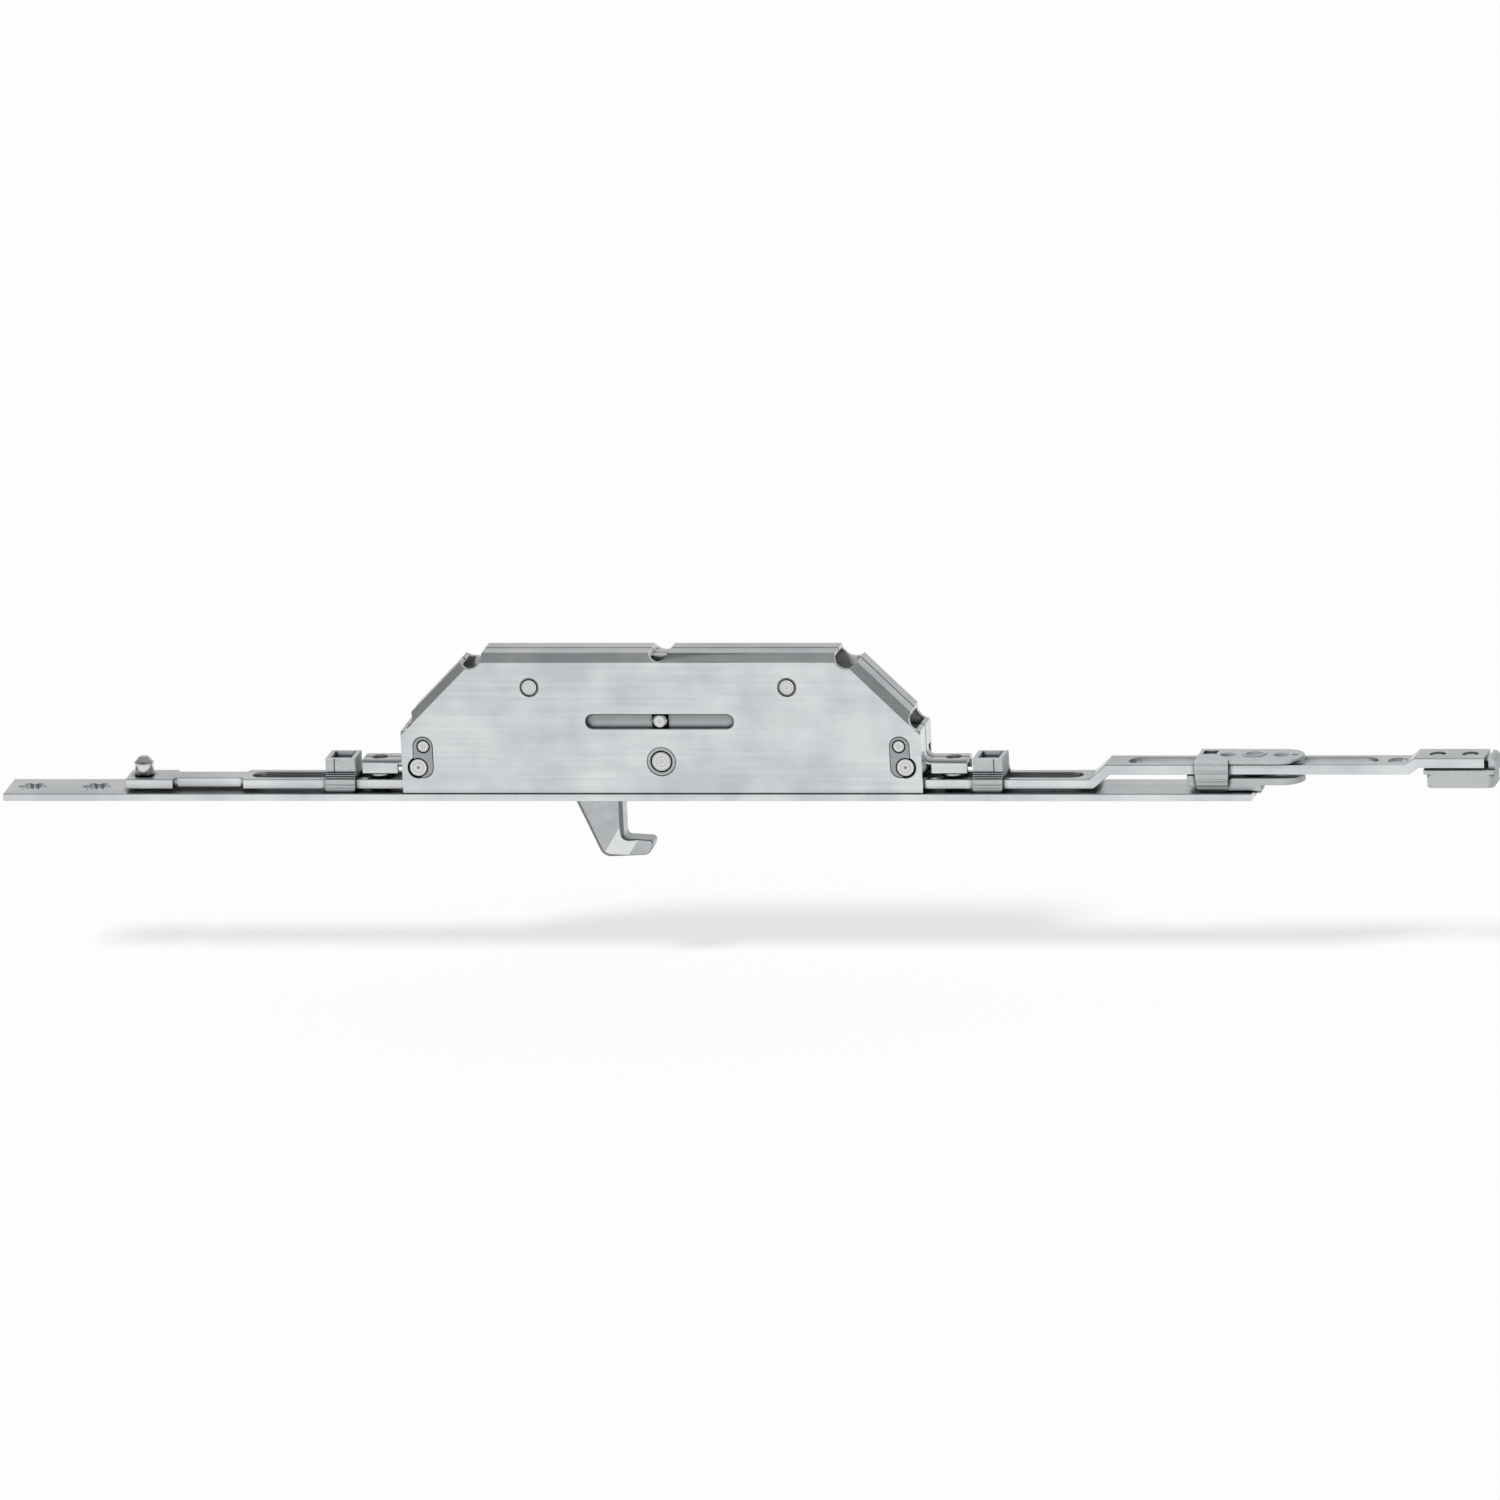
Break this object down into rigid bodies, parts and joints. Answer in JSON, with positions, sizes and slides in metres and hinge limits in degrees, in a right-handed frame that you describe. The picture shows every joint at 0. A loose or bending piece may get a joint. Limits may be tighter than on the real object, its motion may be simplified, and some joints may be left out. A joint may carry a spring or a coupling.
{
  "type": "hook lock",
  "caption": "Slim mortice hook lock for a sliding leaf: flat faceplate, sheet case, sliding drive rods and a hook that swings out through the faceplate.",
  "frame": {"origin": "under the hook's pivot, on the faceplate's inner face, midway between the two screw holes", "axes": "+X along the faceplate towards the long drive rod, +Y across it towards the back shell, +Z from the faceplate into the case; the hook points to -Z"},
  "size_m": [0.4015, 0.016, 0.0563],
  "materials": {
    "zinc_plated_steel": "bright zinc-plated pressed steel",
    "hook_steel": "satin hardened steel, zinc plated",
    "rivet_steel": "turned and riveted bright steel",
    "zinc_casting": "die-cast zinc, as cast",
    "glass_filled_nylon": "moulded glass-filled nylon, light grey"
  },
  "bodies": {
    "case": {"faceplate": "zinc_plated_steel", "front_case_shell": "zinc_plated_steel", "back_case_shell": "zinc_plated_steel", "left_guide_block": "zinc_casting", "right_guide_block": "zinc_casting", "large_guide_pins": "rivet_steel", "small_guide_pins": "rivet_steel", "tie_rivets": "rivet_steel", "tie_sleeves": "rivet_steel", "ear_posts": "rivet_steel", "pivot_bush": "rivet_steel", "pivot_pin": "rivet_steel", "hook_washers": "zinc_plated_steel", "left_rod_clip": "glass_filled_nylon", "right_rod_clip": "glass_filled_nylon", "clip_rivets": "rivet_steel", "end_guide": "glass_filled_nylon"},
    "drive": {"left_drive_rod": "zinc_plated_steel", "right_drive_rod": "zinc_plated_steel", "coupling_pin": "rivet_steel", "front_drive_plate": "zinc_plated_steel", "back_drive_plate": "zinc_plated_steel", "foot_rivets": "rivet_steel", "drive_pin": "rivet_steel", "end_shoe": "glass_filled_nylon"},
    "hook": {"hook": "hook_steel"}
  },
  "joints": [
    {"name": "drive_slide", "type": "slide", "parent": "case", "child": "drive", "axis": [1, 0, 0], "range_m": [0, 0.018]},
    {"name": "hook_swing", "type": "hinge", "parent": "case", "child": "hook", "pos_m": [0, 0, 0.00874], "axis": [0, 1, 0], "range_deg": [0, 94.5]}
  ],
  "couplings": [
    {"joint": "hook_swing", "follows": "drive_slide", "rad_per_m": 91.491}
  ]
}
